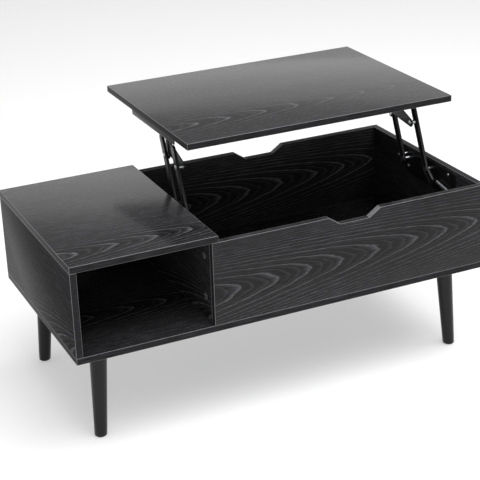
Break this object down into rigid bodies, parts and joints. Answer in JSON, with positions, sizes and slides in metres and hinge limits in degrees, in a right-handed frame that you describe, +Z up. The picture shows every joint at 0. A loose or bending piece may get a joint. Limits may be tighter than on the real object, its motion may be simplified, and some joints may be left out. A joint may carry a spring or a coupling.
{
  "type": "lift top coffee table",
  "caption": "Rectangular coffee table on tapered legs with an open end cubby beside a storage compartment, whose top swings up and back on parallel-arm linkages.",
  "frame": {"origin": "on the floor, under the centre of the bounding box of the whole table with its top raised", "axes": "+X along the table's length, away from the open cubby; +Y towards the back; +Z up"},
  "size_m": [1, 0.641, 0.5855],
  "materials": {
    "laminate": "black wood-grain melamine laminate on particle board, satin",
    "lacquer": "black lacquered turned wood, semi-gloss",
    "black_steel": "black powder-coated pressed steel",
    "zinc": "bright zinc-plated steel",
    "spring_steel": "drawn spring wire",
    "grey_plastic": "grey cam fitting with a moulded cap",
    "glide_plastic": "black moulded nylon"
  },
  "bodies": {
    "carcass": {"fixed_top": "laminate", "bottom_board": "laminate", "left_side_panel": "laminate", "divider_panel": "laminate", "right_side_panel": "laminate", "front_panel": "laminate", "storage_back_panel": "laminate", "cubby_back_panel": "laminate", "leg_front_left": "lacquer", "leg_plate_front_left": "black_steel", "hanger_bolt_front_left": "zinc", "foot_glide_front_left": "glide_plastic", "leg_front_right": "lacquer", "leg_plate_front_right": "black_steel", "hanger_bolt_front_right": "zinc", "foot_glide_front_right": "glide_plastic", "leg_back_left": "lacquer", "leg_plate_back_left": "black_steel", "hanger_bolt_back_left": "zinc", "foot_glide_back_left": "glide_plastic", "leg_back_right": "lacquer", "leg_plate_back_right": "black_steel", "hanger_bolt_back_right": "zinc", "foot_glide_back_right": "glide_plastic", "left_base_plate": "black_steel", "left_spring": "spring_steel", "left_spring_anchor_pin": "zinc", "left_stop_pin": "zinc", "left_front_base_pin": "zinc", "left_rear_base_pin": "zinc", "left_plate_screw_1": "zinc", "left_plate_screw_2": "zinc", "right_base_plate": "black_steel", "right_spring": "spring_steel", "right_spring_anchor_pin": "zinc", "right_stop_pin": "zinc", "right_front_base_pin": "zinc", "right_rear_base_pin": "zinc", "right_plate_screw_1": "zinc", "right_plate_screw_2": "zinc", "cam_fitting_front_1": "grey_plastic", "cam_fitting_front_2": "grey_plastic", "cam_fitting_back_1": "grey_plastic", "cam_fitting_back_2": "grey_plastic"},
    "left_rear_arm": {"left_rear_arm": "black_steel"},
    "right_rear_arm": {"right_rear_arm": "black_steel"},
    "left_front_arm": {"left_front_arm": "black_steel"},
    "right_front_arm": {"right_front_arm": "black_steel"},
    "lift_top": {"lift_top": "laminate", "left_top_rail": "black_steel", "left_front_top_pin": "zinc", "left_rear_top_pin": "zinc", "left_rail_screw_1": "zinc", "left_rail_screw_2": "zinc", "right_top_rail": "black_steel", "right_front_top_pin": "zinc", "right_rear_top_pin": "zinc", "right_rail_screw_1": "zinc", "right_rail_screw_2": "zinc"}
  },
  "joints": [
    {"name": "lift", "type": "hinge", "parent": "carcass", "child": "left_rear_arm", "pos_m": [-0.1455, -0.0285, 0.392], "axis": [1, 0, 0], "range_deg": [0, 139.5]},
    {"name": "top_on_left_rear_arm", "type": "hinge", "parent": "left_rear_arm", "child": "lift_top", "pos_m": [-0.1455, 0.01841, 0.49735], "axis": [1, 0, 0], "range_deg": [-139.5, 0]},
    {"name": "right_rear_swing", "type": "hinge", "parent": "carcass", "child": "right_rear_arm", "pos_m": [0.4595, -0.0285, 0.392], "axis": [1, 0, 0], "range_deg": [0, 139.5]},
    {"name": "left_front_swing", "type": "hinge", "parent": "carcass", "child": "left_front_arm", "pos_m": [-0.1545, -0.1165, 0.392], "axis": [1, 0, 0], "range_deg": [0, 139.5], "deforming": ["left_spring"]},
    {"name": "right_front_swing", "type": "hinge", "parent": "carcass", "child": "right_front_arm", "pos_m": [0.4685, -0.1165, 0.392], "axis": [1, 0, 0], "range_deg": [0, 139.5], "deforming": ["right_spring"]}
  ],
  "couplings": [
    {"joint": "top_on_left_rear_arm", "follows": "lift", "ratio": -1},
    {"joint": "right_rear_swing", "follows": "lift", "ratio": 1},
    {"joint": "left_front_swing", "follows": "lift", "ratio": 1},
    {"joint": "right_front_swing", "follows": "lift", "ratio": 1}
  ]
}
